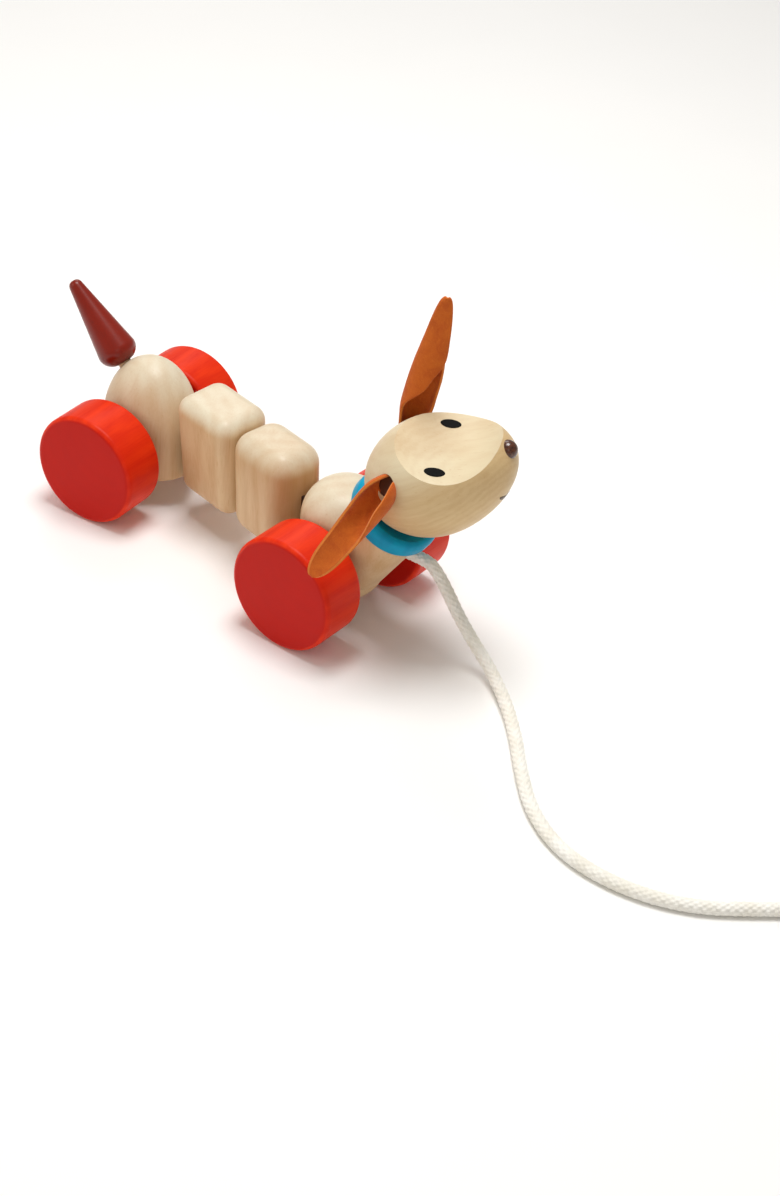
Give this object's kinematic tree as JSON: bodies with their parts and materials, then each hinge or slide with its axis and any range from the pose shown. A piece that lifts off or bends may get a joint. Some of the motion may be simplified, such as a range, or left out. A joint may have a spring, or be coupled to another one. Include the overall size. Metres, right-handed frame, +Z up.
{
  "type": "pull along toy",
  "caption": "Wooden puppy pull-along toy on wheels: a jointed body of wagons and blocks, a turning head with leather ears, and a cord to pull it by.",
  "frame": {"origin": "middle of the toy's floor box, between the two wagons, on the floor, measured without the cord", "axes": "+X the way the rear wagon faces, +Y its left side, +Z up; the front wagon is turned 5.5 degrees to the right"},
  "size_m": [0.4439, 0.1533, 0.1506],
  "materials": {
    "pale_wood": "clear satin varnish over pale rubberwood",
    "dowel_wood": "bare beech dowel",
    "red_wood": "red stain under clear varnish",
    "brown_wood": "red-brown stain under clear varnish",
    "blue_wood": "turquoise paint, satin",
    "nose_paint": "dark brown gloss paint",
    "eye_paint": "black gloss paint",
    "ear_leather": "brown suede leather",
    "strap_leather": "dark brown leather strap",
    "cord_cotton": "off-white braided cotton"
  },
  "bodies": {
    "front_wagon": {"front_body": "pale_wood", "collar": "blue_wood", "hinge_strap_front": "strap_leather", "pull_cord": "cord_cotton", "cord_chest_knot": "cord_cotton", "cord_coil": "cord_cotton", "cord_end_knot": "cord_cotton"},
    "head": {"head": "pale_wood", "neck_dowel": "dowel_wood", "nose": "nose_paint", "eye_left": "eye_paint", "eye_right": "eye_paint", "ear_plug_left": "dowel_wood", "ear_plug_right": "dowel_wood"},
    "left_ear": {"ear_left": "ear_leather"},
    "right_ear": {"ear_right": "ear_leather"},
    "front_wheels": {"front_axle": "dowel_wood", "front_wheel_left": "red_wood", "front_wheel_right": "red_wood"},
    "front_block": {"mid_block_front": "pale_wood", "hinge_strap_middle": "strap_leather"},
    "rear_block": {"mid_block_rear": "pale_wood", "hinge_strap_rear": "strap_leather"},
    "rear_wagon": {"rear_body": "pale_wood", "tail": "brown_wood", "tail_dowel": "dowel_wood"},
    "rear_wheels": {"rear_axle": "dowel_wood", "rear_wheel_left": "red_wood", "rear_wheel_right": "red_wood"}
  },
  "joints": [
    {"name": "front_wheels_roll", "type": "hinge", "parent": "front_wagon", "child": "front_wheels", "pos_m": [0.045, -0.00865, 0.025], "axis": [0.0958, 0.9954, 0], "continuous": true},
    {"name": "front_hitch", "type": "hinge", "parent": "front_wagon", "child": "front_block", "pos_m": [0.0231, -0.00654, 0.0379], "axis": [0, 0, 1], "range_deg": [-8.3, 31.7], "deforming": ["hinge_strap_front"]},
    {"name": "middle_hitch", "type": "hinge", "parent": "front_block", "child": "rear_block", "pos_m": [-0.01177, 0.00426, 0.0379], "axis": [0, 0, 1], "range_deg": [-14.9, 13.1], "deforming": ["hinge_strap_middle"]},
    {"name": "rear_hitch", "type": "hinge", "parent": "rear_block", "child": "rear_wagon", "pos_m": [-0.0468, 0.0145, 0.0379], "axis": [0, 0, 1], "range_deg": [-38.3, 5.7], "deforming": ["hinge_strap_rear"]},
    {"name": "rear_wheels_roll", "type": "hinge", "parent": "rear_wagon", "child": "rear_wheels", "pos_m": [-0.0765, 0.0145, 0.025], "axis": [0, 1, 0], "continuous": true},
    {"name": "head_turn", "type": "hinge", "parent": "front_wagon", "child": "head", "pos_m": [0.0706, -0.01111, 0.06054], "axis": [0.5436, -0.0523, 0.8377], "range_deg": [-72.4, 17.6]},
    {"name": "left_ear_flop", "type": "hinge", "parent": "head", "child": "left_ear", "pos_m": [0.06263, -0.00077, 0.09608], "axis": [-0.9631, -0.1638, 0.2138], "range_deg": [-15, 25], "stiffness_Nm_per_rad": 0.03},
    {"name": "right_ear_flop", "type": "hinge", "parent": "head", "child": "right_ear", "pos_m": [0.07507, -0.03913, 0.08561], "axis": [-0.3967, -0.766, 0.5058], "range_deg": [-5, 25], "stiffness_Nm_per_rad": 0.03}
  ]
}
